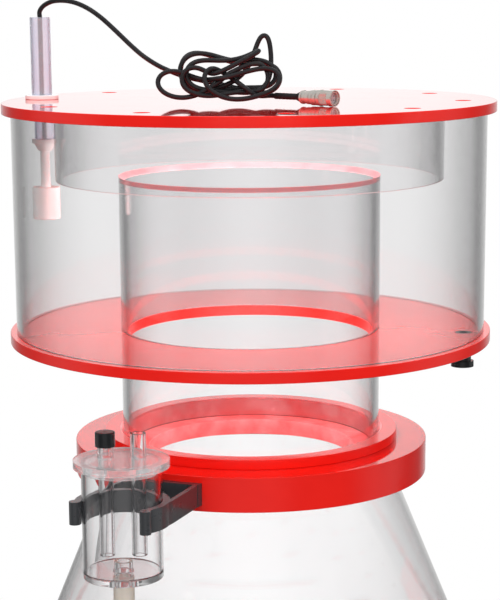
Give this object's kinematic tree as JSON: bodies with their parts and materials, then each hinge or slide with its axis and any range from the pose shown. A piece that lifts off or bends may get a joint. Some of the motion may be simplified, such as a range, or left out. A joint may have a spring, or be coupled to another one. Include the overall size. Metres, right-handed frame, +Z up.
{
  "type": "protein skimmer",
  "caption": "Cone-bodied protein skimmer with a lift-off clear collection cup, red collar, float switch in the lid, clipped air silencer, needle wheel pump and adjustable outlet pipe.",
  "frame": {"origin": "on the floor, under the base plate, on the axis of the body and cup", "axes": "+Z up along the body's axis; -Y is the front, where the silencer is front left; +X is the side of the water outlet pipe and -X the side of the pump"},
  "size_m": [0.79, 0.5241, 0.9452],
  "materials": {
    "red_acrylic": "polished cast sheet",
    "clear_acrylic": "clear, polished",
    "white_plastic": "satin",
    "grey_plastic": "satin moulded",
    "stainless": "satin",
    "hose": "milky, soft",
    "sensor_plastic": "milky, translucent",
    "cable_jacket": "satin jacket",
    "black_rubber": "satin",
    "nickel": "nickel plated",
    "black_plastic": "glossy moulded",
    "ceramic": "polished ceramic",
    "magnet": "resin-coated ferrite"
  },
  "bodies": {
    "stand": {"collar": "red_acrylic", "cone": "clear_acrylic", "joint_ring": "red_acrylic", "body_tube": "clear_acrylic", "base_plate": "red_acrylic", "bubble_plate": "white_plastic", "plate_legs": "white_plastic", "clip": "grey_plastic", "clip_screw": "stainless", "silencer_tube": "clear_acrylic", "silencer_base": "clear_acrylic", "silencer_outlet": "clear_acrylic", "air_hose": "hose", "bulkhead": "grey_plastic", "volute": "grey_plastic", "volute_cover": "grey_plastic", "volute_screws": "stainless", "motor_housing": "black_plastic", "motor_cap": "black_plastic", "cable_gland": "black_plastic", "bearings": "ceramic", "venturi": "grey_plastic", "pump_feet": "black_rubber", "outlet_foot": "grey_plastic", "outlet_pipe": "red_acrylic"},
    "cup": {"cup_tube": "clear_acrylic", "cup_floor": "red_acrylic", "riser_tube": "clear_acrylic", "neck_tube": "clear_acrylic", "neck_ring": "red_acrylic", "neck_seals": "black_rubber", "drain_nipple": "black_plastic", "drain_washer": "black_rubber"},
    "drain_plug": {"drain_cap": "black_plastic"},
    "cover": {"lid": "red_acrylic", "lid_skirt": "clear_acrylic", "sensor_bushing": "white_plastic", "sensor_tube": "sensor_plastic", "sensor_lead": "cable_jacket", "sensor_holder": "white_plastic", "float_stem": "white_plastic", "stem_clip": "stainless", "cable": "cable_jacket", "cable_tangle": "cable_jacket", "connector_boot": "black_rubber", "connector_body": "nickel", "connector_insert": "grey_plastic"},
    "sensor_float": {"float": "white_plastic"},
    "coupling_nut": {"connector_nut": "nickel"},
    "silencer_top": {"silencer_lid": "clear_acrylic", "intake_tube": "clear_acrylic", "capped_tube": "clear_acrylic"},
    "nipple_plug": {"nipple_cap": "black_rubber"},
    "impeller": {"rotor": "magnet", "shaft": "ceramic", "needle_wheel": "white_plastic"},
    "pump_union": {"union_nut": "black_plastic"},
    "intake_basket": {"strainer": "black_plastic"},
    "level_sleeve": {"outlet_sleeve": "clear_acrylic"}
  },
  "joints": [
    {"name": "cup_lift", "type": "slide", "parent": "stand", "child": "cup", "axis": [0, 0, 1], "range_m": [0, 0.08]},
    {"name": "lid_lift", "type": "slide", "parent": "cup", "child": "cover", "axis": [0, 0, 1], "range_m": [0, 0.13]},
    {"name": "float_rise", "type": "slide", "parent": "cover", "child": "sensor_float", "axis": [0, 0, 1], "range_m": [0, 0.025]},
    {"name": "connector_nut_turn", "type": "hinge", "parent": "cover", "child": "coupling_nut", "pos_m": [0.048, -0.091, 0.8574], "axis": [0.7431, -0.6691, 0], "continuous": true},
    {"name": "drain_cap_turn", "type": "hinge", "parent": "cup", "child": "drain_plug", "pos_m": [0.20157, -0.04248, 0.603], "axis": [0, 0, 1], "range_deg": [0, 360]},
    {"name": "silencer_lid_lift", "type": "slide", "parent": "stand", "child": "silencer_top", "axis": [0, 0, 1], "range_m": [0, 0.028]},
    {"name": "nipple_cap_pull", "type": "slide", "parent": "silencer_top", "child": "nipple_plug", "axis": [0, 0, 1], "range_m": [0, 0.013]},
    {"name": "impeller_spin", "type": "hinge", "parent": "stand", "child": "impeller", "pos_m": [-0.345, 0, 0.076], "axis": [0, 1, 0], "continuous": true},
    {"name": "union_nut_turn", "type": "hinge", "parent": "stand", "child": "pump_union", "pos_m": [-0.28, 0, 0.104], "axis": [1, 0, 0], "continuous": true},
    {"name": "strainer_pull", "type": "slide", "parent": "stand", "child": "intake_basket", "axis": [0, -1, 0], "range_m": [0, 0.03]},
    {"name": "level_sleeve_turn", "type": "hinge", "parent": "stand", "child": "level_sleeve", "pos_m": [0.32, 0, 0.4], "axis": [0, 0, 1], "range_deg": [0, 180]}
  ]
}
